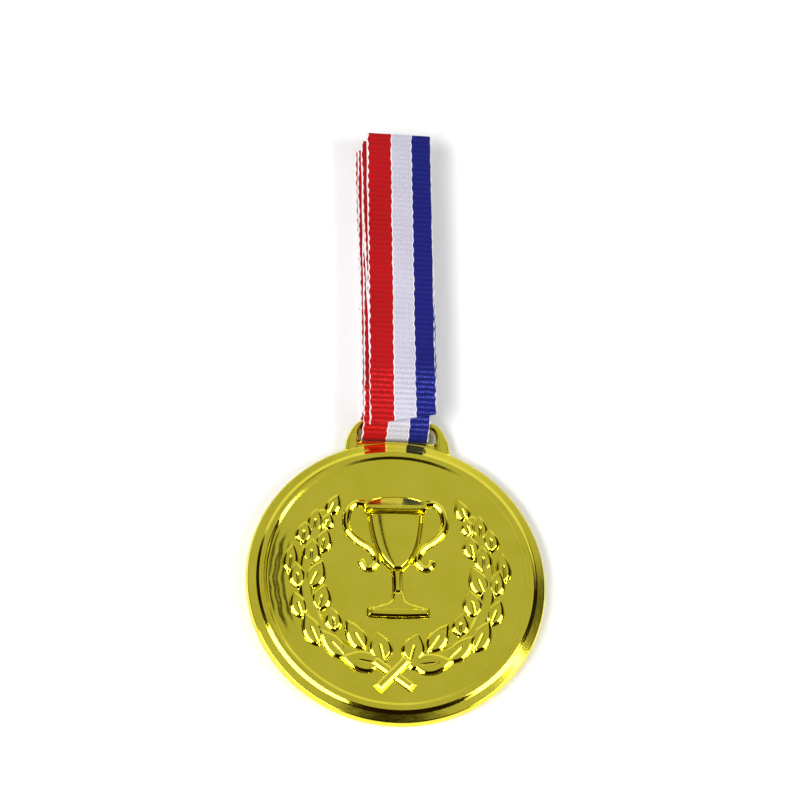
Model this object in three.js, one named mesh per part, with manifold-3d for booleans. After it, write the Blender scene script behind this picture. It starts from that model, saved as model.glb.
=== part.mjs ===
// A trophy medal lying face up with its neck ribbon folded for storage.
// Millimetres, +Z up, +Y from the medal towards its ribbon, +X to the right.
// The medal is one plated plastic moulding: a rimmed disc, a slotted loop, and a relief of a two-handled cup
// between two laurel branches. The ribbon is one woven strip: it passes through the slot, round the loop's
// top bar and back, and is folded to and fro into a flat stack, with its cut end reaching over the bar.

import * as THREE from "three";
import { mergeVertices } from "three/addons/utils/BufferGeometryUtils.js";
import Module from "manifold-3d";

const wasm = await Module();
wasm.setup();

// Driving dimensions

const MEDAL_RADIUS = 22.5;
const DISC_CENTRE_Y = -26.5;      // puts the whole object's middle on the origin
const GIRTH_Z = 1.25;             // the mould's parting line, where the disc is widest
const FIELD_Z = 2.75;             // the flat face that carries the relief
const RING_Z = 3.0;               // the raised ring round that face
const FIELD_RADIUS = 19.25;

const BAR_Y = 25.75;              // the loop's top bar, measured from the disc's centre
const BAR_Z = 1.43;
const BAR_WIDTH = 0.9;
const LOOP_THICKNESS = 1.3;
const LOOP_GAP = 0.3;             // between the loop's feet and the disc's edge
const SLOT_HALF_WIDTH = 6.0;
const SLOT_EDGE_Y = 22.65;        // the slot's straight edge beside the disc

const RIBBON_WIDTH = 10.2;
const RIBBON_THICKNESS = 0.28;
const PASS_COUNT = 16;
const PASS_PITCH = 0.34;          // from one folded layer to the next
const FAR_END_Y = 75.2;           // the top layer's far fold
const CUT_END_SLANT = 2.2;        // how much further the cut end reaches on its left edge

const gold = { color: 0xb3a935, roughness: 0.14, metalness: 1.0 };
const cloth = { color: 0xb0202a, roughness: 0.85, metalness: 0.0 };

// Helpers

function named(name, geometry, finish) {
  const mesh = new THREE.Mesh(geometry, new THREE.MeshStandardMaterial(finish));
  mesh.name = name;
  return mesh;
}

function toSolid(geometry) {
  const bare = geometry.clone();
  bare.deleteAttribute("normal");
  bare.deleteAttribute("uv");
  const merged = mergeVertices(bare, 1e-5);
  return new wasm.Manifold(new wasm.Mesh({
    numProp: 3,
    vertProperties: new Float32Array(merged.attributes.position.array),
    triVerts: new Uint32Array(merged.index.array),
  }));
}

function toGeometry(solid) {
  const mesh = solid.getMesh();
  const geometry = new THREE.BufferGeometry();
  geometry.setAttribute("position", new THREE.BufferAttribute(new Float32Array(mesh.vertProperties), 3));
  geometry.setIndex(new THREE.BufferAttribute(new Uint32Array(mesh.triVerts), 1));
  geometry.computeVertexNormals();
  return geometry;
}

// Everything of a solid that stands above the field.
function aboveField(solid) {
  const size = 100;
  const block = new THREE.BoxGeometry(size, size, size);
  block.translate(0, 0, FIELD_Z + size / 2);
  return toGeometry(solid.intersect(toSolid(block)));
}

// A turned shape with its axis along Y, flattened to stand only `height` above the field.
function turnedRelief(profile, height) {
  const points = profile.map(([radius, y]) => new THREE.Vector2(radius, y));
  const widest = Math.max(...profile.map(([radius]) => radius));
  const shape = new THREE.LatheGeometry(points, 32);
  shape.scale(1, 1, height / widest);
  shape.translate(0, 0, FIELD_Z);
  return aboveField(toSolid(shape));
}

// The medal's disc

function medalDisc() {
  const profile = [
    [0, 0], [21.7, 0], [21.95, 0.15],                     // flat underside and its edge
    [22.4, 1.05], [MEDAL_RADIUS, GIRTH_Z], [22.42, 1.45], // side wall with the parting line
    [22.3, 2.1], [22.2, 2.23],                            // rounded edge
    [20.98, 2.66],                                        // sloping ledge
    [20.5, 2.94], [20.2, RING_Z], [19.83, RING_Z],        // raised ring
    [FIELD_RADIUS, FIELD_Z], [0, FIELD_Z],
  ].map(([radius, z]) => new THREE.Vector2(radius, z));
  const disc = new THREE.LatheGeometry(profile, 96);
  disc.rotateX(Math.PI / 2);
  return named("medal_disc", disc, gold);
}

// The loop: an arch whose feet follow the disc's edge, with the ribbon's slot under its top bar.

function footPoint(x) {
  const radius = MEDAL_RADIUS + LOOP_GAP;
  return [x, Math.sqrt(radius * radius - x * x)];
}

function suspensionLoop() {
  const outerTop = BAR_Y + BAR_WIDTH / 2;
  const innerTop = BAR_Y - BAR_WIDTH / 2;
  const [outerFootX, outerFootY] = footPoint(8.0);
  const [innerFootX, innerFootY] = footPoint(5.3);
  const cornerY = 23.5;             // the slot's lower corners are rounded up to here
  const arch = new THREE.Shape();
  arch.moveTo(-outerFootX, outerFootY);
  arch.bezierCurveTo(-7.7, 23.6, -6.7, outerTop, -4.6, outerTop);
  arch.lineTo(4.6, outerTop);
  arch.bezierCurveTo(6.7, outerTop, 7.7, 23.6, outerFootX, outerFootY);
  arch.lineTo(innerFootX, innerFootY);
  arch.lineTo(innerFootX, SLOT_EDGE_Y);
  arch.quadraticCurveTo(SLOT_HALF_WIDTH, SLOT_EDGE_Y, SLOT_HALF_WIDTH, cornerY);
  arch.lineTo(SLOT_HALF_WIDTH, 23.9);
  arch.quadraticCurveTo(SLOT_HALF_WIDTH, innerTop, 4.6, innerTop);
  arch.lineTo(-4.6, innerTop);
  arch.quadraticCurveTo(-SLOT_HALF_WIDTH, innerTop, -SLOT_HALF_WIDTH, 23.9);
  arch.lineTo(-SLOT_HALF_WIDTH, cornerY);
  arch.quadraticCurveTo(-SLOT_HALF_WIDTH, SLOT_EDGE_Y, -innerFootX, SLOT_EDGE_Y);
  arch.lineTo(-innerFootX, innerFootY);
  const edge = 0.22;
  const loop = new THREE.ExtrudeGeometry(arch, {
    depth: LOOP_THICKNESS - 2 * edge,
    bevelThickness: edge,
    bevelSize: edge,
    bevelOffset: -edge,
    bevelSegments: 2,
    curveSegments: 10,
  });
  loop.translate(0, 0, BAR_Z - LOOP_THICKNESS / 2 + edge);
  return named("suspension_loop", loop, gold);
}

// The cup in relief, which stands turned a little to the left on the disc

const CUP_TURN = THREE.MathUtils.degToRad(2);

function cupRim() {
  const halfWidth = 4.6;
  const height = 1.4;
  const lip = new THREE.CylinderGeometry(halfWidth - 0.25, halfWidth, height, 40);
  lip.rotateX(Math.PI / 2);
  lip.scale(1, 0.25, 1);
  lip.translate(0, 11.75, FIELD_Z + height / 2);
  return named("cup_rim", lip, gold);
}

function cupBowl() {
  const profile = [
    [0, 1.25], [0.75, 1.25], [1.9, 1.9], [2.95, 3.4], [3.7, 6.0], [4.2, 9.0], [4.3, 10.2], [0, 10.2],
  ];
  return named("cup_bowl", turnedRelief(profile, 0.9), gold);
}

function cupStem() {
  const profile = [[0, -2.0], [0.85, -2.0], [0.8, -0.4], [0.85, 0.9], [0.75, 1.15], [0, 1.15]];
  return named("cup_stem", turnedRelief(profile, 0.6), gold);
}

function cupFoot() {
  const profile = [[0, -6.2], [4.6, -6.2], [4.65, -4.95], [2.6, -4.4], [1.35, -3.4], [0.9, -2.1], [0, -2.1]];
  return named("cup_foot", turnedRelief(profile, 0.8), gold);
}

function cupHandle(name, side) {
  const route = new THREE.CatmullRomCurve3([
    [5.0, 12.1], [6.4, 11.9], [7.5, 10.6], [7.7, 8.8], [6.9, 7.0], [5.6, 5.6],
    [4.75, 4.2], [4.5, 2.6], [4.8, 1.5], [5.5, 2.1],
  ].map(([x, y]) => new THREE.Vector3(side * x, y, 0)));
  const section = new THREE.Shape();
  section.absellipse(0, 0, 0.5, 0.5, 0, 2 * Math.PI);
  const tube = new THREE.ExtrudeGeometry(section, { steps: 40, extrudePath: route, curveSegments: 5 });
  tube.translate(0, 0, FIELD_Z);
  return named(name, aboveField(toSolid(tube)), gold);
}

// The laurel in relief: leaves in threes along each branch, and the crossed stems below.

const BRANCH_START = { angle: 252, radius: 12.9 };   // about the disc's centre, beside the crossing
const BRANCH_END = { angle: 139, radius: 14.3 };     // at the last leaves
const LEAF_GROUPS = 6;
const LEAF_WIDTH = 2.1;
const OUTER_LEAF = { turn: -34, length: 4.4, lift: 0 };
const MIDDLE_LEAF = { turn: 0, length: 4.8, lift: 0.1 };
const INNER_LEAF = { turnAtFoot: 38, turnAtTip: 6, length: 4.1, lift: 0 };
const LEAF_SINK = 0.2;            // how far a leaf reaches down into the field before it is trimmed to it

// The branch's middle line on the disc's left side, for t from 0 at its foot to 1 at its tip.
function branchPoint(t) {
  const angle = THREE.MathUtils.degToRad(THREE.MathUtils.lerp(BRANCH_START.angle, BRANCH_END.angle, t));
  const radius = THREE.MathUtils.lerp(BRANCH_START.radius, BRANCH_END.radius, t);
  return { angle, x: radius * Math.cos(angle), y: radius * Math.sin(angle) };
}

function leaf(length, width) {
  const outline = new THREE.Shape();
  const root = -0.7;
  outline.moveTo(root, 0);
  outline.quadraticCurveTo(length * 0.45, width * 0.95, length, 0);
  outline.quadraticCurveTo(length * 0.45, -width * 0.95, root, 0);
  const edge = 0.25;
  return new THREE.ExtrudeGeometry(outline, {
    depth: 0.55,
    bevelThickness: 0.15,
    bevelSize: edge,
    bevelOffset: -edge,
    bevelSegments: 1,
    curveSegments: 5,
  });
}

// The stem that the leaves of one branch grow from, on the disc's left side.
function branchStem() {
  const steps = 8;
  const route = new THREE.CatmullRomCurve3(Array.from({ length: steps + 1 }, (_, i) => {
    const { x, y } = branchPoint(i / steps);
    return new THREE.Vector3(x, y, 0);
  }));
  const section = new THREE.Shape();
  section.absellipse(0, 0, 0.4, 0.4, 0, 2 * Math.PI);
  const stem = new THREE.ExtrudeGeometry(section, { steps: 24, extrudePath: route, curveSegments: 4 });
  stem.translate(0, 0, FIELD_Z);
  return toSolid(stem);
}

function laurelBranch(name, side) {
  let branch = branchStem();
  for (let group = 0; group < LEAF_GROUPS; group += 1) {
    const t = group / (LEAF_GROUPS - 1);
    const { angle, x, y } = branchPoint(t);
    const innerTurn = THREE.MathUtils.lerp(INNER_LEAF.turnAtFoot, INNER_LEAF.turnAtTip, t);
    for (const { turn, length, lift } of [{ ...INNER_LEAF, turn: innerTurn }, OUTER_LEAF, MIDDLE_LEAF]) {
      const blade = leaf(length, LEAF_WIDTH);
      // Along the branch, towards its tip, is clockwise on the left side of the disc.
      blade.rotateZ(angle - Math.PI / 2 - THREE.MathUtils.degToRad(turn));
      blade.translate(x, y, FIELD_Z - LEAF_SINK + lift);
      branch = branch.add(toSolid(blade));
    }
  }
  if (side > 0) branch = branch.mirror([1, 0, 0]);
  return named(name, aboveField(branch), gold);
}

function laurelStems() {
  let stems = null;
  for (const side of [-1, 1]) {
    const route = new THREE.QuadraticBezierCurve3(
      new THREE.Vector3(-side * 2.9, -17.2, 0),
      new THREE.Vector3(side * 0.6, -14.6, 0),
      new THREE.Vector3(side * 2.6, -13.5, 0),
    );
    const section = new THREE.Shape();
    section.absellipse(0, 0, 0.5, 0.5, 0, 2 * Math.PI);
    const stick = new THREE.ExtrudeGeometry(section, { steps: 8, extrudePath: route, curveSegments: 5 });
    stick.translate(0, 0, FIELD_Z);
    stems = stems ? stems.add(toSolid(stick)) : toSolid(stick);
  }
  return named("laurel_stems", aboveField(stems), gold);
}

// The ribbon. Its middle line is drawn in the YZ plane and swept across its width.

// A strip along `line`, with its left edge on the side of -X. sideShift(point index) fans the layers out, and
// the right edge stops short of the line's last point by endSlant.
function strip(line, sideShift, endSlant) {
  const positions = [];
  const faces = [];
  const count = line.length;
  const travel = [0];
  for (let i = 1; i < count; i += 1) travel.push(travel[i - 1] + line[i].distanceTo(line[i - 1]));
  const total = travel[count - 1];
  const slantLength = 8;
  for (let i = 0; i < count; i += 1) {
    const before = line[Math.max(i - 1, 0)];
    const after = line[Math.min(i + 1, count - 1)];
    const along = new THREE.Vector2().subVectors(after, before).normalize();
    const across = new THREE.Vector2(-along.y, along.x).multiplyScalar(RIBBON_THICKNESS / 2);
    const nearEnd = Math.max(0, (travel[i] - (total - slantLength)) / slantLength);
    for (const [side, face] of [[-1, -1], [1, -1], [1, 1], [-1, 1]]) {
      const drop = side > 0 ? nearEnd * endSlant : 0;
      const middle = line[i].clone().addScaledVector(along, -drop);
      positions.push(
        side * RIBBON_WIDTH / 2 + sideShift(i),
        middle.x + face * across.x,
        middle.y + face * across.y,
      );
    }
  }
  for (let i = 0; i < count - 1; i += 1) {
    for (let k = 0; k < 4; k += 1) {
      const a = 4 * i + k;
      const b = 4 * i + (k + 1) % 4;
      faces.push(a, b + 4, b, a, a + 4, b + 4);
    }
  }
  const last = 4 * (count - 1);
  faces.push(0, 1, 2, 0, 2, 3, last, last + 2, last + 1, last, last + 3, last + 2);
  const geometry = new THREE.BufferGeometry();
  geometry.setAttribute("position", new THREE.Float32BufferAttribute(positions, 3));
  geometry.setIndex(faces);
  geometry.computeVertexNormals();
  return geometry;
}

const TURN_END_Y = 27.0;          // the slot strand becomes the stack's lowest layer here
const HIDDEN_END_Y = 30.6;        // the strand's end, laid under the top layer
const HIDDEN_END_Z = 4.83;
const CUT_END_Y = 23.9;           // the top layer's cut end, at its left edge
const CUT_END_Z = 5.15;
const SAG_START_Y = 32.0;         // where the top layer starts to sag towards its cut end

const passZ = (pass) => RIBBON_THICKNESS / 2 + 0.01 + pass * PASS_PITCH;
const TOP_Z = passZ(PASS_COUNT - 1);

// How far each layer's far and near ends have slipped to the right, by pairs of layers from the lowest.
const FAR_SHIFT = [-1.7, -1.5, -1.95, -1.4, -1.7, -1.05, -1.25, -0.45];
const NEAR_SHIFT = [-0.4, -0.35, -0.2, -0.3, -0.6, -0.3, 0.55, 0.55];
const CUT_END_SHIFT = 0.5;

// The strand that holds the medal: from its hidden end, steeply down through the slot and under the bar.
function ribbonTurn() {
  const over = [HIDDEN_END_Y, 28.4, 26.8, 25.8].map((y) => [y, HIDDEN_END_Z]);
  const front = [[25.0, 4.66], [24.45, 4.1], [24.0, 3.3], [23.55, 2.55], [23.25, 1.9], [23.2, 1.2]];
  const under = [[23.3, 0.7], [23.55, 0.34], [24.2, passZ(0) + 0.02], [25.3, passZ(0)], [TURN_END_Y, passZ(0)]];
  const route = new THREE.SplineCurve([...over, ...front, ...under].map(([y, z]) => new THREE.Vector2(y, z)));
  const steps = 56;
  return named("ribbon_turn", strip(route.getSpacedPoints(steps).reverse(), () => NEAR_SHIFT[0], 0), cloth);
}

// Far folds lie a little short of the top one. The last near fold leaves room for the strand's hidden end.
const farFoldY = (pair) => FAR_END_Y - [1.9, 2.3, 1.6, 2.4, 2.2, 1.8, 1.2, 0][pair];
const nearFoldY = (pair) => [27.5, 27.9, 27.4, 28.0, 27.6, 27.9, 31.3][pair];

function ribbonStack() {
  const points = [];
  const shifts = [];
  const add = (y, z, shift) => {
    points.push(new THREE.Vector2(y, z));
    shifts.push(shift);
  };
  const foldSteps = 6;
  const fold = (y, lower, facing, shiftBelow, shiftAbove) => {
    const middle = (passZ(lower) + passZ(lower + 1)) / 2;
    for (let k = 0; k <= foldSteps; k += 1) {
      const angle = -Math.PI / 2 + Math.PI * k / foldSteps;
      const shift = shiftBelow + (shiftAbove - shiftBelow) * k / foldSteps;
      add(y + facing * PASS_PITCH / 2 * Math.cos(angle), middle + PASS_PITCH / 2 * Math.sin(angle), shift);
    }
  };
  add(TURN_END_Y, passZ(0), NEAR_SHIFT[0]);
  const pairs = PASS_COUNT / 2;
  for (let pair = 0; pair < pairs; pair += 1) {
    fold(farFoldY(pair), 2 * pair, 1, FAR_SHIFT[pair], FAR_SHIFT[pair]);
    if (pair < pairs - 1) fold(nearFoldY(pair), 2 * pair + 1, -1, NEAR_SHIFT[pair], NEAR_SHIFT[pair + 1]);
  }
  const sagSteps = 6;
  for (let k = 0; k <= sagSteps; k += 1) {
    const t = k / sagSteps;
    const y = THREE.MathUtils.lerp(SAG_START_Y, CUT_END_Y, t);
    const fromFarEnd = (FAR_END_Y - y) / (FAR_END_Y - CUT_END_Y);
    const shift = THREE.MathUtils.lerp(FAR_SHIFT[pairs - 1], CUT_END_SHIFT, fromFarEnd);
    add(y, THREE.MathUtils.lerp(TOP_Z, CUT_END_Z, t * t), shift);
  }
  return named("ribbon_stack", strip(points, (i) => shifts[i], CUT_END_SLANT), cloth);
}

const cup = new THREE.Group();
cup.add(
  cupRim(),
  cupBowl(),
  cupStem(),
  cupFoot(),
  cupHandle("cup_handle_left", -1),
  cupHandle("cup_handle_right", 1),
);
cup.rotation.z = CUP_TURN;

const medal = new THREE.Group();
medal.add(
  medalDisc(),
  suspensionLoop(),
  cup,
  laurelBranch("laurel_branch_left", -1),
  laurelBranch("laurel_branch_right", 1),
  laurelStems(),
);

const ribbon = new THREE.Group();
ribbon.add(ribbonTurn(), ribbonStack());

const part = new THREE.Group();
part.add(medal, ribbon);
part.position.set(0, DISC_CENTRE_Y, 0);

export default part;
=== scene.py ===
# Looks for a trophy medal lying face up with its neck ribbon folded for storage.
# The medal is one plated plastic moulding: a rimmed disc, a slotted loop and a relief of a cup between two
# laurel branches, each a piece of its own here as in the frame. The ribbon is one woven strip.
# Shapes are worked out in millimetres about the middle of the disc's underside, with Z up and +Y to the
# ribbon.

import math

import bpy
import numpy as np
from mathutils import Matrix, Vector


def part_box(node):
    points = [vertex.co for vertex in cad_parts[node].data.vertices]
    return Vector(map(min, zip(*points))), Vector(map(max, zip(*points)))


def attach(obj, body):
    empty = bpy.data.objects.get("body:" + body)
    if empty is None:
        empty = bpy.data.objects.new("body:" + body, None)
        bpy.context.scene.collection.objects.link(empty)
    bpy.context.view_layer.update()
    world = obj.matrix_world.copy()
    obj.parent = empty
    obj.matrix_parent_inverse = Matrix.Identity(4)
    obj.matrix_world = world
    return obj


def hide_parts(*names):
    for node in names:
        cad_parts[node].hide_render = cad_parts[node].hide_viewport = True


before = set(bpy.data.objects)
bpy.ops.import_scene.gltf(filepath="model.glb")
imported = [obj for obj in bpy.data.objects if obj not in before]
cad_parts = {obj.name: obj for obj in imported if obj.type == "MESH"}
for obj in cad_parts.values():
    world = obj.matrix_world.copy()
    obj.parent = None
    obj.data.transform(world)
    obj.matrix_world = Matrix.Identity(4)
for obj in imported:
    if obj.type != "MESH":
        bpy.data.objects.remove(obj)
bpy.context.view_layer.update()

MM = 0.001
disc_low, disc_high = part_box("medal_disc")
DISC_CENTRE = np.array([(disc_low.x + disc_high.x) / 2, (disc_low.y + disc_high.y) / 2, 0.0])
MEDAL_RADIUS = (disc_high.x - disc_low.x) / 2 / MM
RING_Z = disc_high.z / MM                  # the raised ring, which is the disc's highest part
FIELD_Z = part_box("cup_bowl")[0].z / MM     # the flat face that the relief stands on


def place(point):
    """A point in metres in the frame, from millimetres about the disc's centre."""
    return Vector(np.asarray(point, float) * MM + DISC_CENTRE)


# Camera

CAMERA_AIM = (0.4, 30.0, 1.44)
CAMERA_DISTANCE = 391.6
CAMERA_AZIMUTH, CAMERA_ELEVATION, CAMERA_ROLL = map(math.radians, (-12.75, 63.9, 14.44))
CAMERA_LENS = 114.4


def add_camera():
    data = bpy.data.cameras.new("camera")
    data.lens = CAMERA_LENS
    data.sensor_width = 36.0
    data.clip_start, data.clip_end = 0.01, 20.0
    level_right = Vector((math.cos(CAMERA_AZIMUTH), math.sin(CAMERA_AZIMUTH), 0))
    back = Vector((
        math.sin(CAMERA_AZIMUTH) * math.cos(CAMERA_ELEVATION),
        -math.cos(CAMERA_AZIMUTH) * math.cos(CAMERA_ELEVATION),
        math.sin(CAMERA_ELEVATION),
    ))
    level_up = back.cross(level_right)
    right = math.cos(CAMERA_ROLL) * level_right + math.sin(CAMERA_ROLL) * level_up
    camera = bpy.data.objects.new("camera", data)
    camera.matrix_world = (
        Matrix.Translation(place(CAMERA_AIM) + back * CAMERA_DISTANCE * MM)
        @ Matrix((right, back.cross(right), back)).transposed().to_4x4()
    )
    bpy.context.scene.collection.objects.link(camera)
    bpy.context.scene.camera = camera


# Shader graphs

class Graph:
    """Adds nodes to a node tree. Inputs may be numbers, tuples or the outputs of other nodes."""

    def __init__(self, tree):
        self.tree = tree
        tree.nodes.clear()

    def node(self, kind, **settings):
        made = self.tree.nodes.new("ShaderNode" + kind)
        for name, value in settings.items():
            setattr(made, name, value)
        return made

    def feed(self, socket, value):
        if isinstance(value, bpy.types.NodeSocket):
            self.tree.links.new(value, socket)
        else:
            socket.default_value = value

    def math(self, operation, *values):
        made = self.node("Math", operation=operation)
        for socket, value in zip(made.inputs, values):
            self.feed(socket, value)
        return made.outputs[0]

    def add(self, *values):
        total = values[0]
        for value in values[1:]:
            total = self.math("ADD", total, value)
        return total

    def times(self, first, second):
        return self.math("MULTIPLY", first, second)

    def step(self, value, low, high):
        """0 where value is low, 1 where it is high, and eased between them."""
        made = self.node("MapRange", interpolation_type="SMOOTHSTEP")
        self.feed(made.inputs["Value"], value)
        self.feed(made.inputs["From Min"], low)
        self.feed(made.inputs["From Max"], high)
        return made.outputs["Result"]

    def ramp(self, value, stops, mode="LINEAR"):
        made = self.node("ValToRGB")
        made.color_ramp.interpolation = mode
        elements = made.color_ramp.elements
        while len(elements) < len(stops):
            elements.new(1.0)
        for element, (position, colour) in zip(elements, stops):
            element.position = position
            element.color = (*colour, 1.0)
        self.feed(made.inputs["Fac"], value)
        return made.outputs["Color"]

    def mix(self, factor, first, second):
        made = self.node("Mix", data_type="RGBA")
        self.feed(made.inputs["Factor"], factor)
        self.feed(made.inputs["A"], first)
        self.feed(made.inputs["B"], second)
        return made.outputs["Result"]

    def noise(self, vector, scale, detail):
        made = self.node("TexNoise")
        self.feed(made.inputs["Vector"], vector)
        self.feed(made.inputs["Scale"], scale)
        self.feed(made.inputs["Detail"], detail)
        return made.outputs["Fac"]

    def bump(self, height, distance, strength, normal=None):
        made = self.node("Bump")
        self.feed(made.inputs["Height"], height)
        self.feed(made.inputs["Distance"], distance)
        self.feed(made.inputs["Strength"], strength)
        if normal is not None:
            self.feed(made.inputs["Normal"], normal)
        return made.outputs["Normal"]


def new_material(name):
    material = bpy.data.materials.new(name)
    material.use_nodes = True
    graph = Graph(material.node_tree)
    surface = graph.node("BsdfPrincipled")
    output = graph.node("OutputMaterial")
    graph.tree.links.new(surface.outputs[0], output.inputs["Surface"])
    return material, graph, surface


# Stage and light

def add_floor():
    """A pale matt table, 12 metres square."""
    half = 6.0
    mesh = bpy.data.meshes.new("floor")
    corners = [(-half, -half, 0), (half, -half, 0), (half, half, 0), (-half, half, 0)]
    mesh.from_pydata(corners, [], [(0, 1, 2, 3)])
    floor = bpy.data.objects.new("floor", mesh)
    bpy.context.scene.collection.objects.link(floor)
    material, _, surface = new_material("pale_table")
    surface.inputs["Base Color"].default_value = (0.92, 0.92, 0.92, 1)
    surface.inputs["Roughness"].default_value = 0.9
    surface.inputs["Specular IOR Level"].default_value = 0.0
    mesh.materials.append(material)


CEILING = (0.50, 0.50, 0.50, 1)
BACKDROP = (0.86, 0.86, 0.86, 1)
SKIRTING = (0.24, 0.22, 0.20, 1)
DARK = (0.012, 0.004, 0.003, 1)


def light_room():
    """A grey ceiling, a pale backdrop, dark panels to both sides and in front that stand clear of a dim
    skirting, and a thin dark stand overhead. Each is set by the direction in which it is seen."""
    world = bpy.data.worlds.new("room")
    bpy.context.scene.world = world
    world.use_nodes = True
    graph = Graph(world.node_tree)
    split = graph.node("SeparateXYZ")
    graph.feed(split.inputs[0], graph.node("TexCoord").outputs["Generated"])
    x, y, z = split.outputs
    level = graph.math("SQRT", graph.math("SUBTRACT", 1.0, graph.times(z, z)))
    backward = graph.math("DIVIDE", y, level)
    behind = graph.times(graph.step(z, 0.52, 0.38), graph.step(backward, 0.45, 0.60))
    colour = graph.mix(behind, CEILING, BACKDROP)
    sides = graph.step(graph.math("ABSOLUTE", x), 0.66, 0.72)
    colour = graph.mix(sides, colour, DARK)
    front = graph.step(y, -0.29, -0.34)
    colour = graph.mix(front, colour, DARK)
    off_stand = graph.math("ABSOLUTE", graph.add(x, 0.13))
    stand = graph.times(graph.step(off_stand, 0.035, 0.02), graph.step(y, 0.05, 0.15))
    colour = graph.mix(graph.times(stand, graph.step(z, 0.6, 0.8)), colour, DARK)
    low_wall = graph.mix(graph.step(backward, 0.3, 0.6), SKIRTING, BACKDROP)
    colour = graph.mix(graph.step(z, 0.34, 0.26), colour, low_wall)
    background = graph.node("Background")
    graph.feed(background.inputs["Color"], colour)
    background.inputs["Strength"].default_value = 1.0
    output = graph.node("OutputWorld")
    graph.tree.links.new(background.outputs[0], output.inputs["Surface"])


def add_softbox(name, azimuth, elevation, width, height, glare, spill):
    """A rectangular soft light one metre off that faces the medal. Azimuth is in degrees from +X towards
    +Y. glare is its radiance in reflections, and spill its radiance as a light on cloth and table. Where
    one of them is 0 there is no light for it."""
    a, e = math.radians(azimuth), math.radians(elevation)
    away = Vector((math.cos(a) * math.cos(e), math.sin(a) * math.cos(e), math.sin(e)))
    for part, radiance in (("glare", glare), ("spill", spill)):
        if radiance == 0:
            continue
        data = bpy.data.lights.new(f"{name}_{part}", "AREA")
        data.shape = "RECTANGLE"
        data.size, data.size_y = width, height
        data.energy = radiance * math.pi * width * height
        light = bpy.data.objects.new(f"{name}_{part}", data)
        light.location = place((0, 0, 0)) + away
        light.rotation_mode = "QUATERNION"
        light.rotation_quaternion = (-away).to_track_quat("-Z", "Y")
        light.visible_camera = False
        light.visible_diffuse = part == "spill"
        light.visible_glossy = part == "glare"
        bpy.context.scene.collection.objects.link(light)


# Materials

def plated_gold():
    """Bright greenish-gold plating on smooth plastic: nearly a mirror, with faint ripples, haze and
    hairlines."""
    material, graph, surface = new_material("plated_gold")
    place_on = graph.node("TexCoord").outputs["Object"]
    haze = graph.noise(place_on, 260.0, 3.0)
    speck = graph.noise(place_on, 2600.0, 2.0)
    stretched = graph.node("Mapping")
    stretched.inputs["Rotation"].default_value = (0, 0, 0.6)
    stretched.inputs["Scale"].default_value = (90.0, 5200.0, 90.0)
    graph.feed(stretched.inputs["Vector"], place_on)
    hairlines = graph.step(graph.noise(stretched.outputs[0], 1.0, 2.0), 0.66, 0.74)
    tone = graph.ramp(haze, [(0.3, (0.84, 0.745, 0.052)), (0.7, (0.89, 0.80, 0.068))])
    graph.feed(surface.inputs["Base Color"], tone)
    surface.inputs["Metallic"].default_value = 1.0
    polish = 0.05
    marks = graph.add(graph.times(speck, 0.03), graph.times(hairlines, 0.06))
    graph.feed(surface.inputs["Roughness"], graph.add(polish, graph.times(haze, 0.07), marks))
    ripple = graph.bump(graph.noise(place_on, 420.0, 2.0), 0.00003, 0.35)
    grain = graph.bump(graph.add(speck, graph.times(hairlines, -0.5)), 0.000004, 0.5, ripple)
    graph.feed(surface.inputs["Normal"], grain)
    return material


RIBBON_WIDTH = 10.2
RIB_PITCH = 0.86
WARP_PITCH = 0.37
SCALLOP_PITCH = 2 * RIB_PITCH
RED_END, WHITE_END, NAVY_END = 3.85, 7.05, 10.1     # where the stripes end, from the left edge
SELVEDGE = 0.13
RED, WHITE, NAVY = (0.40, 0.003, 0.005), (0.54, 0.52, 0.62), (0.007, 0.009, 0.15)
# painted highlight colours of the three stripes, mixed in on the ribs' crests
LIT_RED, LIT_WHITE, LIT_NAVY = (0.95, 0.03, 0.03), (0.66, 0.63, 0.72), (0.085, 0.11, 0.60)
BRIGHT = (0.86, 0.84, 0.86)                         # the selvedges, and the borders between stripes


def stripes(graph, across, borders):
    """Stripes across the ribbon, from (start, colour) in order."""
    stops = [(start / RIBBON_WIDTH, colour) for start, colour in borders]
    return graph.ramp(graph.times(across, 1 / RIBBON_WIDTH), stops, "CONSTANT")


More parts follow.
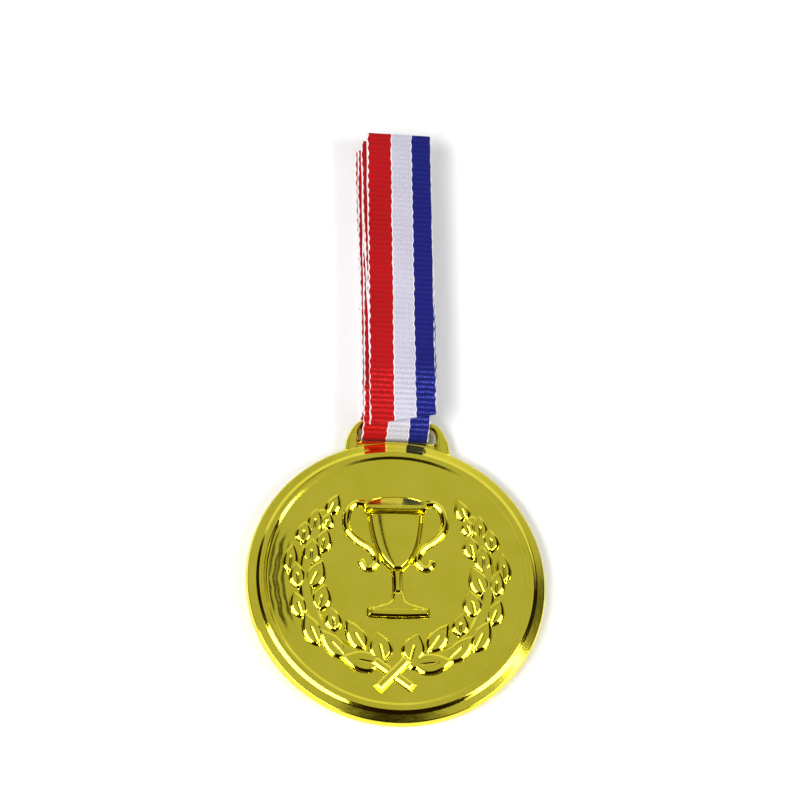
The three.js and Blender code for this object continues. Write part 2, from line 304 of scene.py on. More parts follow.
def woven_ribbon():
    """Ribbed polyester in three stripes whose borders follow the weft, with white selvedges, and with
    painted shade and painted highlights along the ribs. The mesh's weave attribute gives millimetres across
    and along the ribbon and which face it is, and its other attribute how strongly that light and shade are
    painted: most on the strand where it curves down over the bar, and where the top layer sags towards its
    cut end."""
    material, graph, surface = new_material("woven_ribbon")
    weave = graph.node("Attribute", attribute_name="weave").outputs["Vector"]
    # how strongly shade and highlights are painted along the ribs
    light_on_ribs = graph.node("Attribute", attribute_name="painted_rib_light").outputs["Fac"]
    split = graph.node("SeparateXYZ")
    graph.feed(split.inputs[0], weave)
    across, along, _ = split.outputs
    turn = 2 * math.pi

    scallop = graph.math("SINE", graph.times(along, turn / SCALLOP_PITCH))
    wander = graph.add(graph.noise(weave, 0.35, 2.0), -0.5)
    stripe_place = graph.add(across, graph.times(scallop, 0.055), graph.times(wander, 0.35))
    half_border = 0.07
    colour = stripes(graph, stripe_place, [
        (0.0, BRIGHT),
        (SELVEDGE, RED),
        (RED_END - half_border, BRIGHT),
        (RED_END + half_border, WHITE),
        (WHITE_END - half_border, BRIGHT),
        (WHITE_END + half_border, NAVY),
        (NAVY_END, BRIGHT),
    ])
    lit_colour = stripes(graph, stripe_place, [(0.0, LIT_RED), (RED_END, LIT_WHITE), (WHITE_END, LIT_NAVY)])

    rib_wander = graph.times(graph.noise(weave, 1.3, 1.0), 2.2)
    rib = graph.math("SINE", graph.add(graph.times(along, turn / RIB_PITCH), rib_wander))
    thread = graph.math("SINE", graph.times(across, turn / WARP_PITCH))
    fibre_vector = graph.node("Mapping")
    fibre_vector.inputs["Scale"].default_value = (2.6, 3.0, 1.0)
    graph.feed(fibre_vector.inputs["Vector"], weave)
    fibre = graph.noise(fibre_vector.outputs[0], 1.0, 3.0)

    # Painted shade and light in rows along the ribs, stronger where the ribbon curves; the other terms of
    # the shade are random mottling and the texture of fibres and warp threads.
    ribs = graph.times(graph.add(0.03, graph.times(light_on_ribs, 0.06)), rib)
    wear = graph.times(graph.noise(weave, 0.09, 2.0), 0.35)
    shade = graph.add(0.47, wear, ribs, graph.times(fibre, 0.55), graph.times(thread, 0.05))
    shaded = graph.node("Mix", data_type="RGBA", blend_type="MULTIPLY")
    shaded.inputs["Factor"].default_value = 1.0
    graph.feed(shaded.inputs["A"], colour)
    graph.feed(shaded.inputs["B"], shade)

    # Painted highlights: dashes on the ribs' crests over the warp threads, in patches, mixed towards the
    # lit stripe colours and strongest where the ribbon curves.
    on_thread = graph.add(0.4, graph.times(graph.step(thread, -0.3, 0.8), 0.6))
    patches = graph.step(graph.noise(weave, 1.9, 2.0), 0.38, 0.62)
    evenness = graph.add(0.45, graph.times(patches, 0.55))
    dashes = graph.times(graph.times(graph.step(rib, -0.2, 0.9), on_thread), evenness)
    glints = graph.times(dashes, graph.add(0.10, graph.times(light_on_ribs, 0.75)))
    glinting = graph.mix(glints, shaded.outputs["Result"], lit_colour)

    graph.feed(surface.inputs["Base Color"], glinting)
    graph.feed(surface.inputs["Roughness"], graph.add(0.42, graph.times(fibre, 0.22)))
    surface.inputs["Specular IOR Level"].default_value = 0.15
    surface.inputs["Sheen Weight"].default_value = 0.04
    surface.inputs["Sheen Roughness"].default_value = 0.4
    threads = graph.add(graph.times(rib, 0.5), graph.times(thread, 0.12))
    relief_height = graph.add(threads, graph.times(fibre, 0.35))
    graph.feed(surface.inputs["Normal"], graph.bump(relief_height, 0.00003, 0.5))
    return material


# Mesh helpers

def eased(t):
    """0 up to 1 for t from 0 to 1, with a soft start and end."""
    t = np.clip(t, 0, 1)
    return t * t * (3 - 2 * t)


def make_piece(name, points, faces, material):
    """A smooth mesh from points in millimetres about the disc's centre."""
    mesh = bpy.data.meshes.new(name)
    mesh.from_pydata((np.asarray(points, float) * MM + DISC_CENTRE).tolist(), [], faces)
    mesh.shade_smooth()
    mesh.materials.append(material)
    piece = bpy.data.objects.new(name, mesh)
    bpy.context.scene.collection.objects.link(piece)
    return piece


def path_lengths(points):
    steps = np.linalg.norm(np.diff(points, axis=0), axis=1)
    return np.concatenate([[0.0], np.cumsum(steps)])


def resample(points, spacing):
    """Evenly spaced points along a polyline."""
    points = np.asarray(points, float)
    travel = path_lengths(points)
    distance = np.linspace(0, travel[-1], max(2, round(travel[-1] / spacing) + 1))
    return np.stack([np.interp(distance, travel, column) for column in points.T], axis=1)


def smooth_through(points, spacing):
    """Evenly spaced points along a smooth curve through the given ones (a Catmull-Rom spline)."""
    points = np.asarray(points, float)
    ends = np.vstack([2 * points[0] - points[1], points, 2 * points[-1] - points[-2]])
    pieces = []
    t = np.linspace(0, 1, 24, endpoint=False)[:, None]
    for a, b, c, d in zip(ends, ends[1:], ends[2:], ends[3:]):
        square = 2 * a - 5 * b + 4 * c - d
        cube = 3 * b - a - 3 * c + d
        pieces.append((2 * b + (c - a) * t + square * t**2 + cube * t**3) / 2)
    return resample(np.vstack([*pieces, points[-1:]]), spacing)


def eased_corners(corners, spacing, softness):
    """Evenly spaced points along a polyline, its corners rounded off over about the softness."""
    line = resample(corners, spacing)
    reach = int(3 * softness / spacing)
    weights = np.exp(-0.5 * (np.arange(-reach, reach + 1) * spacing / softness) ** 2)
    weights /= weights.sum()
    padded = np.pad(line, ((reach, reach), (0, 0)), mode="edge")
    return np.stack([np.convolve(column, weights, "valid") for column in padded.T], axis=1)


def ring_faces(rings, around):
    """Quads between successive closed rings of points."""
    ring, spot = np.meshgrid(np.arange(rings - 1), np.arange(around), indexing="ij")
    a = ring * around + spot
    b = ring * around + (spot + 1) % around
    return np.stack([a, b, b + around, a + around], axis=-1).reshape(-1, 4).tolist()


def end_faces(count, around):
    """Faces that close the first and last ring of count points."""
    last = count - around
    return [list(range(around))[::-1], list(range(last, count))]


# The disc

LEDGE = [(22.2, 2.23), (20.98, 2.66)]           # slopes down and outwards
RING = [(20.5, 2.94), (20.2, RING_Z), (19.83, RING_Z), (19.25, FIELD_Z)]


def medal_disc(material):
    side_wall = [(21.7, 0), (21.95, 0.15), (22.4, 1.05), (MEDAL_RADIUS, 1.25), (22.42, 1.75)]
    corners = [(21.0, 0), *side_wall, *LEDGE, *RING, (18.4, FIELD_Z)]
    rim = eased_corners(corners, spacing=0.055, softness=0.05)
    underside = [(0.001, 0), (8, 0), (16, 0), (20.0, 0)]
    field_radii = [*np.arange(18.3, 15.0, -0.12), 14.5, 14, 13, 9, 4, 0.001]
    field = [(radius, FIELD_Z) for radius in field_radii]
    profile = np.vstack([underside, rim, field])
    around = 480
    angle = np.linspace(0, 2 * math.pi, around, endpoint=False)
    radius = profile[:, :1] * np.ones(around)
    upper_side = profile[:, 1:] > 1.5
    z = profile[:, 1:] + field_wave(radius, angle) * upper_side
    points = np.stack([radius * np.cos(angle), radius * np.sin(angle), z], axis=-1).reshape(-1, 3)
    faces = ring_faces(len(profile), around) + end_faces(len(points), around)
    return make_piece("disc", points, faces, material)


def field_wave(radius, angle):
    """Slight ripples of the moulded face near the thicker rim, and a shallow dip beside the left
    branch."""
    near_rim = np.exp(-(((radius - 17.2) / 1.6) ** 2))
    slow_ripple = 0.4 + 0.3 * np.sin(5 * angle + 0.7)
    quick_ripple = 0.2 * np.sin(11 * angle + 2.0) + 0.15 * np.sin(23 * angle)
    beside_branch = np.exp(-(((angle - math.radians(184)) / math.radians(31)) ** 4))
    dip_start, dip_end, fall = 16.7, 19.3, 0.092
    dip = fall * np.clip(radius - dip_start, 0, dip_end - dip_start) * eased((20.0 - radius) / 0.6)
    wander = 0.9 * np.sin(3 * angle) + 0.5 * np.sin(17 * angle + 1.0) + 0.4 * np.sin(41 * angle)
    band_pitch, band_height = 1.2, 0.0045
    within_dip = (radius > dip_start) & (radius < dip_end)
    bands = band_height * np.sin(2 * math.pi * radius / band_pitch + wander) * within_dip
    return 0.008 * near_rim * (slow_ripple + quick_ripple) - beside_branch * (dip + bands)


# The loop

SLOT_EDGE_Y = 22.65      # the slot's straight edge beside the disc


def suspension_loop(material):
    """An arch swept from foot to foot, and the web between its feet. They run into the disc's edge."""
    loop_low, loop_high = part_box("suspension_loop")
    middle_z = (loop_low.z + loop_high.z) / 2 / MM
    half_thick = (loop_high.z - loop_low.z) / 2 / MM
    top = (loop_high.y - DISC_CENTRE[1]) / MM
    bar_bottom = top - 0.9
    outer = [
        (-8.15, 20.9), (-8.0, 21.6), (-7.75, 23.0), (-6.95, 24.7), (-5.9, 25.85), (-4.6, top), (-2.3, top),
    ]
    inner = [
        (-6.05, 20.9), (-6.0, 22.2), (-5.98, 23.6), (-5.75, 24.6), (-5.2, 25.15), (-4.3, bar_bottom),
        (-2.2, bar_bottom),
    ]
    outer = smooth_through(outer + [(-x, y) for x, y in outer[::-1]], 0.1)
    inner = smooth_through(inner + [(-x, y) for x, y in inner[::-1]], 0.1)
    count = 220
    outer = resample(outer, path_lengths(outer)[-1] / count)
    inner = resample(inner, path_lengths(inner)[-1] / count)
    around = 36
    turn = np.linspace(0, 2 * math.pi, around, endpoint=False)
    squareness = 0.55
    side = np.sign(np.cos(turn)) * np.abs(np.cos(turn)) ** squareness
    lift = np.sign(np.sin(turn)) * np.abs(np.sin(turn)) ** squareness
    centre = (outer + inner) / 2
    reach = (outer - inner) / 2
    flat = centre[:, None, :] + reach[:, None, :] * side[None, :, None]
    z = np.broadcast_to(middle_z + half_thick * lift, flat.shape[:2])
    points = np.concatenate([flat, z[..., None]], axis=-1).reshape(-1, 3)
    faces = ring_faces(len(centre), around) + end_faces(len(points), around)
    web_points, web_faces = slot_web()
    faces += [[spot + len(points) for spot in face] for face in web_faces]
    return make_piece("loop", np.vstack([points, web_points]), faces, material)


def slot_web():
    """The moulding between the disc's round edge and the slot's straight one, swept from foot to foot.
    Its top carries on the slope of the disc's ledge, and its edge is rounded off. Its root is inside the
    disc."""
    half_width, corner_start, corner_rise, root_radius = 6.6, 5.2, 1.1, 21.6
    x = np.linspace(-half_width, half_width, 160)
    into_corner = np.clip((np.abs(x) - corner_start) / (half_width - corner_start), 0, 1)
    edge = SLOT_EDGE_Y + corner_rise * into_corner**2
    root = np.sqrt(root_radius**2 - x**2)
    (ledge_radius, ledge_z), (inner_radius, inner_z) = LEDGE
    fall = (inner_z - ledge_z) / (ledge_radius - inner_radius)
    below_ledge, bottom, rounding = 0.02, 0.8, 0.15
    section = []
    for back, low in ((0, 0.45), (0.05, 0.15), (rounding, 0)):
        y = edge - back
        section.append((y, ledge_z - fall * (np.hypot(x, y) - ledge_radius) - low - below_ledge))
    lower = [(root, ledge_z - 0.5), (root, bottom), (edge - rounding, bottom), (edge, bottom + rounding)]
    section += [(y, np.full(x.shape, z)) for y, z in lower]
    points = np.stack([np.stack([x, y, z], axis=1) for y, z in section], axis=1).reshape(-1, 3)
    return points, ring_faces(len(x), len(section)) + end_faces(len(points), len(section))


# The relief: low closed solids on the field, each from a function that gives its height

SINK = 0.06     # how far a relief's edge goes into the field, so that its outline is a clean line
STEP, FINE_STEP, FINEST_STEP = 0.06, 0.05, 0.045     # spacings of a relief's points


def ramp(t):
    """Straight from 0 up towards 1, with the corner at the top rounded off."""
    corner = 0.25
    t = np.clip(t, 0, 1 + corner)
    return np.where(t < 1 - corner, t, 1 - (1 + corner - t) ** 2 / (4 * corner))


def bevelled(inside, height, width=0.5, drop=0.3):
    """Height of a flat-topped shape. inside is the distance in from its outline: the edge goes steeply
    up to within drop of the top, and from there on is a chamfer of the given width."""
    foot_width = 0.12
    foot = np.maximum(height - drop, 0) * ramp(inside / foot_width)
    chamfer = np.minimum(height, drop) * ramp((inside - foot_width) / width)
    return np.where(inside > 0, foot + chamfer, np.maximum(inside * 0.8, -SINK))


def distance_to(x, y, line):
    """Distance from each point to a polyline."""
    nearest = np.full(x.shape, 1e9)
    for (ax, ay), (bx, by) in zip(line[:-1], line[1:]):
        dx, dy = bx - ax, by - ay
        t = np.clip(((x - ax) * dx + (y - ay) * dy) / (dx * dx + dy * dy + 1e-12), 0, 1)
        nearest = np.minimum(nearest, np.hypot(x - ax - t * dx, y - ay - t * dy))
    return nearest


def distance_inside(x, y, outline):
    """Distance in from a closed outline, negative outside it."""
    closed = np.vstack([outline, outline[:1]])
    inside = np.zeros(x.shape, bool)
    for (ax, ay), (bx, by) in zip(closed[:-1], closed[1:]):
        crosses = (ay > y) != (by > y)
        slope = (bx - ax) / (by - ay if by != ay else 1e-12)
        inside ^= crosses & (x < ax + (y - ay) * slope)
    return np.where(inside, 1, -1) * distance_to(x, y, closed)


def relief(name, height_at, low, high, material, step=STEP):
    """A closed solid on the field. height_at gives the height above the field for arrays of x and y."""
    x, y = np.meshgrid(*(np.arange(start, end + step, step) for start, end in zip(low, high)))
    height = np.maximum(height_at(x, y), -SINK)
    raised = height > -SINK + 1e-6
    cell = raised[:-1, :-1] | raised[:-1, 1:] | raised[1:, :-1] | raised[1:, 1:]
    index = np.arange(x.size).reshape(x.shape)
    corners = [index[:-1, :-1], index[:-1, 1:], index[1:, 1:], index[1:, :-1]]
    quads = np.stack(corners, axis=-1)[cell]
    used, quads = np.unique(quads, return_inverse=True)
    quads = quads.reshape(-1, 4)
    top = np.stack([x.ravel()[used], y.ravel()[used], FIELD_Z + height.ravel()[used]], axis=1)
    bottom = top.copy()
    bottom[:, 2] = FIELD_Z - 2 * SINK
    count = len(top)
    edges = np.concatenate([quads[:, [0, 1]], quads[:, [1, 2]], quads[:, [2, 3]], quads[:, [3, 0]]])
    keys = np.sort(edges, axis=1)
    _, first, times_used = np.unique(keys, axis=0, return_index=True, return_counts=True)
    border = edges[first[times_used == 1]]
    begin, finish = border.T
    walls = np.stack([finish, begin, begin + count, finish + count], axis=1)
    faces = np.concatenate([quads, quads[:, ::-1] + count, walls])
    return make_piece(name, np.vstack([top, bottom]), faces.tolist(), material)


# The cup, which stands turned a little to the left on the disc

CUP_TURN = math.radians(2.0)
CUP_HALF_WIDTH = 4.7
LIP_Y = 11.2     # the mouth's front edge
BOWL_PROFILE = [
    (0.8, 1.0), (1.25, 1.4), (2.0, 2.2), (2.75, 3.3), (3.35, 4.8), (3.75, 6.4), (4.1, 8.4), (4.3, 10.6),
]
FOOT_PROFILE = [(0.85, -2.2), (1.0, -3.0), (1.35, -3.7), (2.6, -4.2), (3.7, -4.5), (4.6, -4.75)]


def turned(height_at):
    """The same shape, turned with the cup."""
    c, s = math.cos(CUP_TURN), math.sin(CUP_TURN)
    return lambda x, y: height_at(c * x + s * y, c * y - s * x)


def crown_over(x, y, profile, height, power):
    """A crown across a turned shape's width, flatter in the middle for a higher power."""
    line = smooth_through(profile, 0.1)
    order = np.argsort(line[:, 1])
    half = np.interp(y, line[order, 1], line[order, 0])
    return height * (1 - np.clip(np.abs(x) / half, 0, 1) ** power) ** 0.5


def outline_of(profile):
    """Both sides of a turned shape's outline, from [half width, y] points."""
    line = smooth_through(profile, 0.15)
    return np.vstack([line, line[::-1] * (-1, 1)])


def cup_mouth(x, y):
    """A lip along the front, and behind it the mouth's opening, which slopes away and down to the
    field. A low rim runs round the opening's back."""
    across = np.sqrt(np.clip(1 - (x / CUP_HALF_WIDTH) ** 2, 0, 1))
    back_edge = LIP_Y + 2.2 * across
    front_edge = LIP_Y - 0.75 * across**0.3
    in_from_side = (CUP_HALF_WIDTH - np.abs(x)) * 1.5
    in_from_back = np.minimum(back_edge - y, in_from_side)
    inside = np.minimum(in_from_back, y - front_edge)
    lip_height, steepness, rim_width, rim_height = 1.4, 0.62, 0.45, 0.16
    slope = lip_height - steepness * np.clip(y - LIP_Y, 0, 3)
    rim = rim_height * eased((rim_width - in_from_back) / 0.12)
    return bevelled(inside, np.maximum(slope + rim, 0.08), 0.2, 0.08)


def cup_bowl(x, y):
    inside = distance_inside(x, y, outline_of(BOWL_PROFILE))
    return bevelled(inside, 0.3 + crown_over(x, y, BOWL_PROFILE, 0.7, 2.0), 0.5, 0.3)


def cup_stem(x, y):
    outline = outline_of([(0.85, -2.6), (0.78, -1.0), (0.82, 0.4), (0.95, 1.5)])
    return bevelled(distance_inside(x, y, outline), 0.62, 0.45, 0.3)


def cup_foot(x, y):
    flare = distance_inside(x, y, outline_of([*FOOT_PROFILE, (4.6, -5.4)]))
    lower_edge = -6.15 - 0.25 * (1 - (x / CUP_HALF_WIDTH) ** 2)
    band = np.minimum(np.minimum(y - lower_edge, -4.7 - y), 4.68 - np.abs(x))
    crown = 0.35 * np.sqrt(np.clip(1 - (x / 4.8) ** 2, 0, 1))
    upper = bevelled(flare, 0.38 + crown, 0.4, 0.25)
    lower = bevelled(band, 0.5 + crown, 0.35, 0.3)
    return np.maximum(upper, lower)


HANDLE_ROUTE = [
    (4.6, 11.95), (5.9, 12.0), (7.05, 10.9), (7.45, 9.1), (7.05, 7.4), (5.8, 6.0),
    (4.1, 4.85), (3.2, 3.6), (3.1, 2.5), (3.9, 1.6), (4.8, 1.7), (5.25, 2.45),
]
HANDLE_HALF_WIDTH = 0.62


def cup_handle(side):
    route = smooth_through([(side * x, y) for x, y in HANDLE_ROUTE], 0.15)

    def height_at(x, y):
        return bevelled(HANDLE_HALF_WIDTH - distance_to(x, y, route), 0.58, 0.46, 0.28)

    return height_at


# The laurel: the left branch's leaves as (base, tip, half width), from its foot to its end

LAUREL = [
    ((-2.2, -13.6), (-8.4, -12.8), 1.75),
    ((-1.9, -13.3), (-3.1, -8.4), 1.8),
    ((-7.4, -12.9), (-11.6, -8.5), 1.45),
    ((-4.6, -11.6), (-7.7, -6.8), 1.5),
    ((-11.4, -11.2), (-13.8, -6.0), 1.5),
    ((-9.2, -8.9), (-9.7, -5.0), 1.35),
    ((-13.9, -7.0), (-15.5, -2.6), 1.35),
    ((-11.7, -5.8), (-10.7, -1.3), 1.55),
    ((-14.6, -2.4), (-15.2, 2.0), 1.3),
    ((-13.1, -2.3), (-11.1, 2.4), 1.55),
    ((-16.2, -0.1), (-15.6, 5.0), 1.2),
    ((-13.0, 1.3), (-12.7, 5.9), 1.45),
    ((-11.5, 3.4), (-10.6, 7.5), 1.35),
    ((-14.3, 4.7), (-13.8, 8.6), 1.3),
    ((-11.0, 7.0), (-10.2, 10.1), 1.15),
    ((-12.6, 6.3), (-12.2, 10.8), 1.3),
    ((-10.5, 9.5), (-8.9, 13.2), 1.2),
]
BRANCH = [
    (-2.5, -13.2), (-7.6, -11.6), (-11.2, -8.4), (-13.2, -4.0), (-13.6, 0.5), (-12.9, 5.0), (-11.3, 9.6),
]
BRANCH_HALF_WIDTH = 1.1


def leaf_height(x, y, base, tip, half_width):
    """A broad pointed leaf that rises to its tip, grooved along the middle of its lower part."""
    length = math.dist(base, tip)
    ax, ay = (tip[0] - base[0]) / length, (tip[1] - base[1]) / length
    u = np.clip(((x - base[0]) * ax + (y - base[1]) * ay) / length, -0.2, 1.2)
    v = (y - base[1]) * ax - (x - base[0]) * ay
    broadest = 0.42
    to_base = (broadest - u) / broadest
    to_tip = (u - broadest) / (1 - broadest)
    spot = np.where(u < broadest, to_base, to_tip)
    outline = half_width * (1 - np.abs(spot) ** np.where(u < broadest, 2.6, 1.9))
    lean = 1 / np.sqrt(1 + (3.6 * half_width / length * spot) ** 2)
    inside = (outline - np.abs(v)) * lean
    top = 0.3 + 0.55 * np.clip(u, 0, 1)
    groove = 0.14 * np.exp(-((v / 0.15) ** 2)) * eased(u / 0.12) * eased((0.66 - u) / 0.2)
    return bevelled(inside, top, 0.45, 0.25) - groove * (inside > 0.1)


def laurel_branch(side):
    def height_at(x, y):
        mirrored = -side * x
        off_branch = distance_to(mirrored, y, smooth_through(BRANCH, 0.5))
        branch = bevelled(BRANCH_HALF_WIDTH - off_branch, 0.35, 0.4, 0.25)
        leaves = [leaf_height(mirrored, y, *leaf) for leaf in LAUREL]
        return np.maximum.reduce([branch, *leaves])

    return height_at


def laurel_stems(x, y):
    """Two sticks that cross, the left branch's under the right one's."""
    over = bar_height(x, y, (1.6, -12.6), (-2.9, -17.5), 0.82, 0.85)
    under = bar_height(x, y, (-3.5, -12.9), (2.5, -17.1), 0.78, 0.6)
    return np.maximum(over, under)


def bar_height(x, y, start, end, half_width, height):
    length = math.dist(start, end)
    ax, ay = (end[0] - start[0]) / length, (end[1] - start[1]) / length
    u = (x - start[0]) * ax + (y - start[1]) * ay
    v = np.abs((y - start[1]) * ax - (x - start[0]) * ay)
    inside = np.minimum(half_width - v, np.minimum(u, length - u))
    return bevelled(inside, height, 0.45, 0.28)


# The ribbon

THICKNESS = 0.28
PASS_COUNT = 16
PASS_PITCH = 0.34                         # from one folded layer to the next
PASS_STEP = 2.0                           # spacing of the points along a hidden pass
FAR_END_Y = 75.2                          # the top layer's far fold
TURN_END_Y = 27.0                         # the strand in the slot becomes the lowest layer here
HIDDEN_END_Y, HIDDEN_END_Z = 30.6, 4.83   # the strand's end, laid under the top layer
SAG_START_Y = 32.0                        # where the top layer starts to sag towards its cut end
CUT_END_Y, CUT_END_Z = 23.9, 5.15         # the cut end, at its left edge
CUT_END_SLANT = 2.2                       # how much further the cut end reaches on that edge
CUT_END_SLIP = 0.5                        # to the right

# By pairs of layers from the lowest: how far the far and near ends have slipped to the right, how far short
# of the top layer's far end each far fold lies, and where the near folds are.
FAR_SLIP = [-1.7, -1.5, -1.95, -1.4, -1.7, -1.05, -1.25, -0.45]
NEAR_SLIP = [-0.4, -0.35, -0.2, -0.3, -0.6, -0.3, 0.55, 0.55]
FAR_SHORT = [1.9, 2.3, 1.6, 2.4, 2.2, 1.8, 1.2, 0]
NEAR_FOLDS = [27.5, 27.9, 27.4, 28.0, 27.6, 27.9, 31.3]


def pass_z(level):
    return THICKNESS / 2 + 0.01 + level * PASS_PITCH


def ribbon_route():
    """The strip's middle line as (side slip, y, z), from its hidden end to its cut end."""
    over = [(y, HIDDEN_END_Z) for y in (HIDDEN_END_Y, 28.4, 26.8, 25.8)]
    front = [(25.0, 4.66), (24.45, 4.1), (24.0, 3.3), (23.55, 2.55), (23.25, 1.9), (23.2, 1.2)]
    lowest = pass_z(0)
    under = [(23.3, 0.7), (23.55, 0.34), (24.2, lowest + 0.02), (25.3, lowest), (TURN_END_Y, lowest)]
    route = [smooth_through([(NEAR_SLIP[0], y, z) for y, z in over + front + under], 0.15)]
    pairs = PASS_COUNT // 2
    near_y, near_slip = TURN_END_Y, NEAR_SLIP[0]
    for pair in range(pairs):
        lower, upper = 2 * pair, 2 * pair + 1
        far_y, far_slip = FAR_END_Y - FAR_SHORT[pair] - PASS_PITCH / 2, FAR_SLIP[pair]
        route.append(straight(near_slip, near_y, far_slip, far_y, pass_z(lower)))
        route.append(fold(far_slip, far_slip, far_y, lower, 1))
        if pair < pairs - 1:
            near_y = NEAR_FOLDS[pair]
            route.append(straight(far_slip, far_y, NEAR_SLIP[pair], near_y, pass_z(upper)))
            near_slip = NEAR_SLIP[pair + 1]
            route.append(fold(NEAR_SLIP[pair], near_slip, near_y, upper, -1))
    y = np.linspace(far_y, CUT_END_Y, 420)
    slip = np.interp(y, [CUT_END_Y, FAR_END_Y], [CUT_END_SLIP, FAR_SLIP[-1]])
    top = pass_z(PASS_COUNT - 1)
    sag = np.clip((SAG_START_Y - y) / (SAG_START_Y - CUT_END_Y), 0, 1) ** 2
    z = top + (CUT_END_Z - top) * sag
    route.append(np.stack([slip, y, z], axis=1))
    return np.vstack(route)


def straight(slip, y, end_slip, end_y, z):
    """A level pass, without its two ends, which belong to the folds."""
    t = np.linspace(0, 1, max(3, int(abs(end_y - y) / PASS_STEP)))[1:-1]
    between_slips = slip + (end_slip - slip) * eased(t)
    return np.stack([between_slips, y + (end_y - y) * t, np.full(t.shape, z)], axis=1)


def fold(slip, end_slip, y, level, facing):
    """A half turn from a level up to the next one, bulging towards +Y or -Y."""
    angle = np.linspace(-math.pi / 2, math.pi / 2, 9)
    middle = (pass_z(level) + pass_z(level + 1)) / 2
    return np.stack([
        np.linspace(slip, end_slip, len(angle)),
        y + facing * PASS_PITCH / 2 * np.cos(angle),
        middle + PASS_PITCH / 2 * np.sin(angle),
    ], axis=1)


def rib_light_amount(travel):
    """How strongly shade and highlights are painted along the ribs: 1 at the top of the strand, where it
    curves down over the bar, down to 0 where the cloth lies flat. Near the cut end, where the top layer
    sags, they are painted too, but less at the end itself."""
    on_strand = eased((8.5 - travel) / 2.0)
    from_cut_end = travel[-1] - travel
    fade_at_end = 0.5 + 0.5 * eased((from_cut_end - 2.0) / 2.0)
    near_cut_end = eased((11.0 - from_cut_end) / 3.0) * fade_at_end
    return np.maximum(on_strand, near_cut_end)


EDGE_COLUMNS = np.array([0, 0.06, 0.2])            # close columns round off each edge of the ribbon
EDGE_ROUNDING = np.array([0.35, 0.75, 1.0])        # the share of the full thickness at each of them
MIDDLE_COLUMNS = 18
EDGE_REACH = 0.5                                   # how far in the edges' waviness goes
SURFACE_INSET = 0.03                               # leaves room for the ribs within the thickness


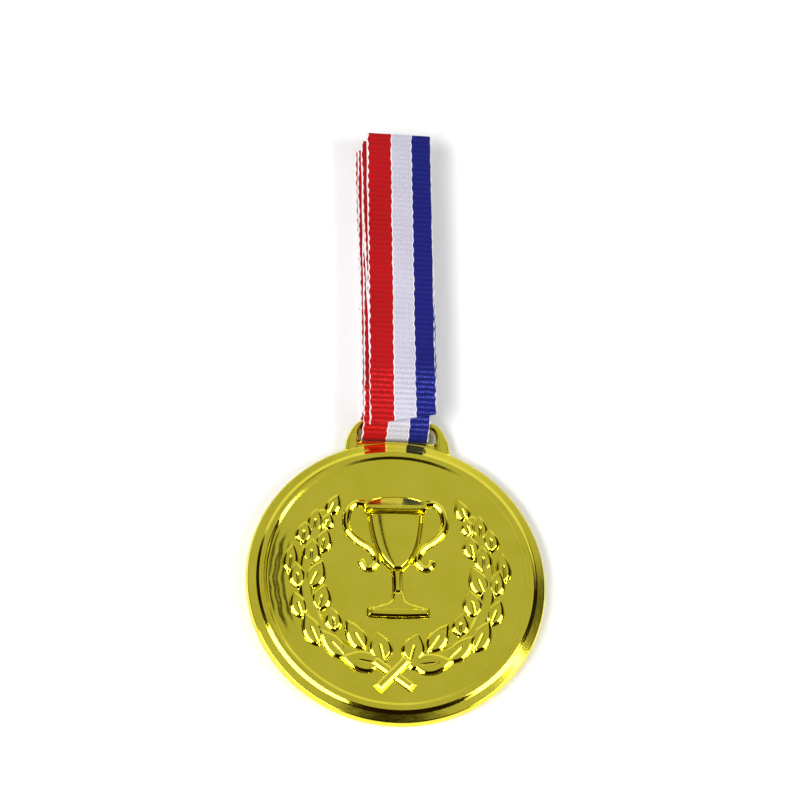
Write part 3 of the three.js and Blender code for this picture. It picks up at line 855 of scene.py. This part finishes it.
def folded_ribbon(material):
    """The strip swept along its route, with ribs, wavy edges and a slanted cut end."""
    route = ribbon_route()
    travel = path_lengths(route)
    length = travel[-1]
    tangent = np.gradient(route[:, 1:], axis=0)
    tangent /= np.linalg.norm(tangent, axis=1)[:, None]
    normal = np.stack([-tangent[:, 1], tangent[:, 0]], axis=1)
    middle = np.linspace(EDGE_REACH, RIBBON_WIDTH - EDGE_REACH, MIDDLE_COLUMNS)
    columns = np.concatenate([EDGE_COLUMNS, middle, RIBBON_WIDTH - EDGE_COLUMNS[::-1]])
    rounding = np.concatenate([EDGE_ROUNDING, np.ones(MIDDLE_COLUMNS), EDGE_ROUNDING[::-1]])
    scallop = 0.05 * np.sin(2 * math.pi * travel / SCALLOP_PITCH)
    rib = 0.01 * np.abs(np.sin(math.pi * travel / RIB_PITCH))
    slant_length = 8
    near_end = np.clip((travel - (length - slant_length)) / slant_length, 0, 1)

    points, weave = [], []
    column_numbers = list(range(len(columns)))
    for face, numbers in ((1, column_numbers), (-1, column_numbers[::-1])):
        for k in numbers:
            across = columns[k]
            left_edge = max(0.0, 1 - across / EDGE_REACH)
            right_edge = max(0.0, 1 - (RIBBON_WIDTH - across) / EDGE_REACH)
            at_edge = right_edge - left_edge
            x = across - RIBBON_WIDTH / 2 + route[:, 0] + scallop * at_edge
            drop = near_end * CUT_END_SLANT * across / RIBBON_WIDTH
            half_thickness = rounding[k] * THICKNESS / 2 - SURFACE_INSET
            offset = face * (half_thickness + rib * (abs(at_edge) < 1))
            y = route[:, 1] - tangent[:, 0] * drop + normal[:, 0] * offset
            z = route[:, 2] - tangent[:, 1] * drop + normal[:, 1] * offset
            points.append(np.stack([x, y, z], axis=1))
            same = np.ones(len(travel))
            weave.append(np.stack([same * across, travel - drop, same * face], axis=1))
    points, weave = np.stack(points, axis=1), np.stack(weave, axis=1)
    rows, around = points.shape[:2]
    faces = [face[::-1] for face in ring_faces(rows, around) + end_faces(rows * around, around)]
    piece = make_piece("neck_ribbon", points.reshape(-1, 3), faces, material)
    attributes = piece.data.attributes
    attributes.new("weave", "FLOAT_VECTOR", "POINT").data.foreach_set("vector", weave.reshape(-1))
    # how strongly light and shade are painted along the ribs, as a mesh attribute for the material
    painted_rib_light = np.repeat(rib_light_amount(travel), around)
    attributes.new("painted_rib_light", "FLOAT", "POINT").data.foreach_set("value", painted_rib_light)
    return piece


# Everything in place

add_camera()
add_floor()
light_room()
add_softbox("left_softbox", 212, 46, 0.80, 0.36, 9.0, 11.0)
add_softbox("right_softbox", 342, 41, 0.46, 0.36, 9.0, 11.0)
add_softbox("front_fill", 272, 24, 0.8, 0.3, 0.0, 3.0)

gold = plated_gold()
cloth = woven_ribbon()

medal_pieces = {
    "medal_disc": medal_disc(gold),
    "suspension_loop": suspension_loop(gold),
    "cup_rim": relief("mouth", turned(cup_mouth), (-5.4, 9.9), (4.9, 14.0), gold, FINEST_STEP),
    "cup_bowl": relief("bowl", turned(cup_bowl), (-5.0, 0.7), (4.7, 11.0), gold),
    "cup_stem": relief("stem", turned(cup_stem), (-1.3, -2.8), (1.3, 1.8), gold, FINEST_STEP),
    "cup_foot": relief("foot", turned(cup_foot), (-5.1, -6.9), (5.1, -1.9), gold, FINE_STEP),
    "cup_handle_left": relief(
        "handle_left", turned(cup_handle(-1)), (-8.8, 0.3), (-2.2, 13.0), gold, FINE_STEP
    ),
    "cup_handle_right": relief(
        "handle_right", turned(cup_handle(1)), (2.2, 0.3), (8.8, 13.3), gold, FINE_STEP
    ),
    "laurel_branch_left": relief("laurel_left", laurel_branch(-1), (-17.6, -15.6), (-0.2, 13.6), gold),
    "laurel_branch_right": relief("laurel_right", laurel_branch(1), (0.2, -15.6), (17.6, 13.6), gold),
    "laurel_stems": relief("stems", laurel_stems, (-4.6, -18.6), (4.6, -11.8), gold, FINE_STEP),
}
for node, piece in medal_pieces.items():
    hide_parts(node)
    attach(piece, "medal")

ribbon = folded_ribbon(cloth)
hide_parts("ribbon_turn", "ribbon_stack")
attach(ribbon, "ribbon")

bpy.context.scene.view_settings.view_transform = "Standard"
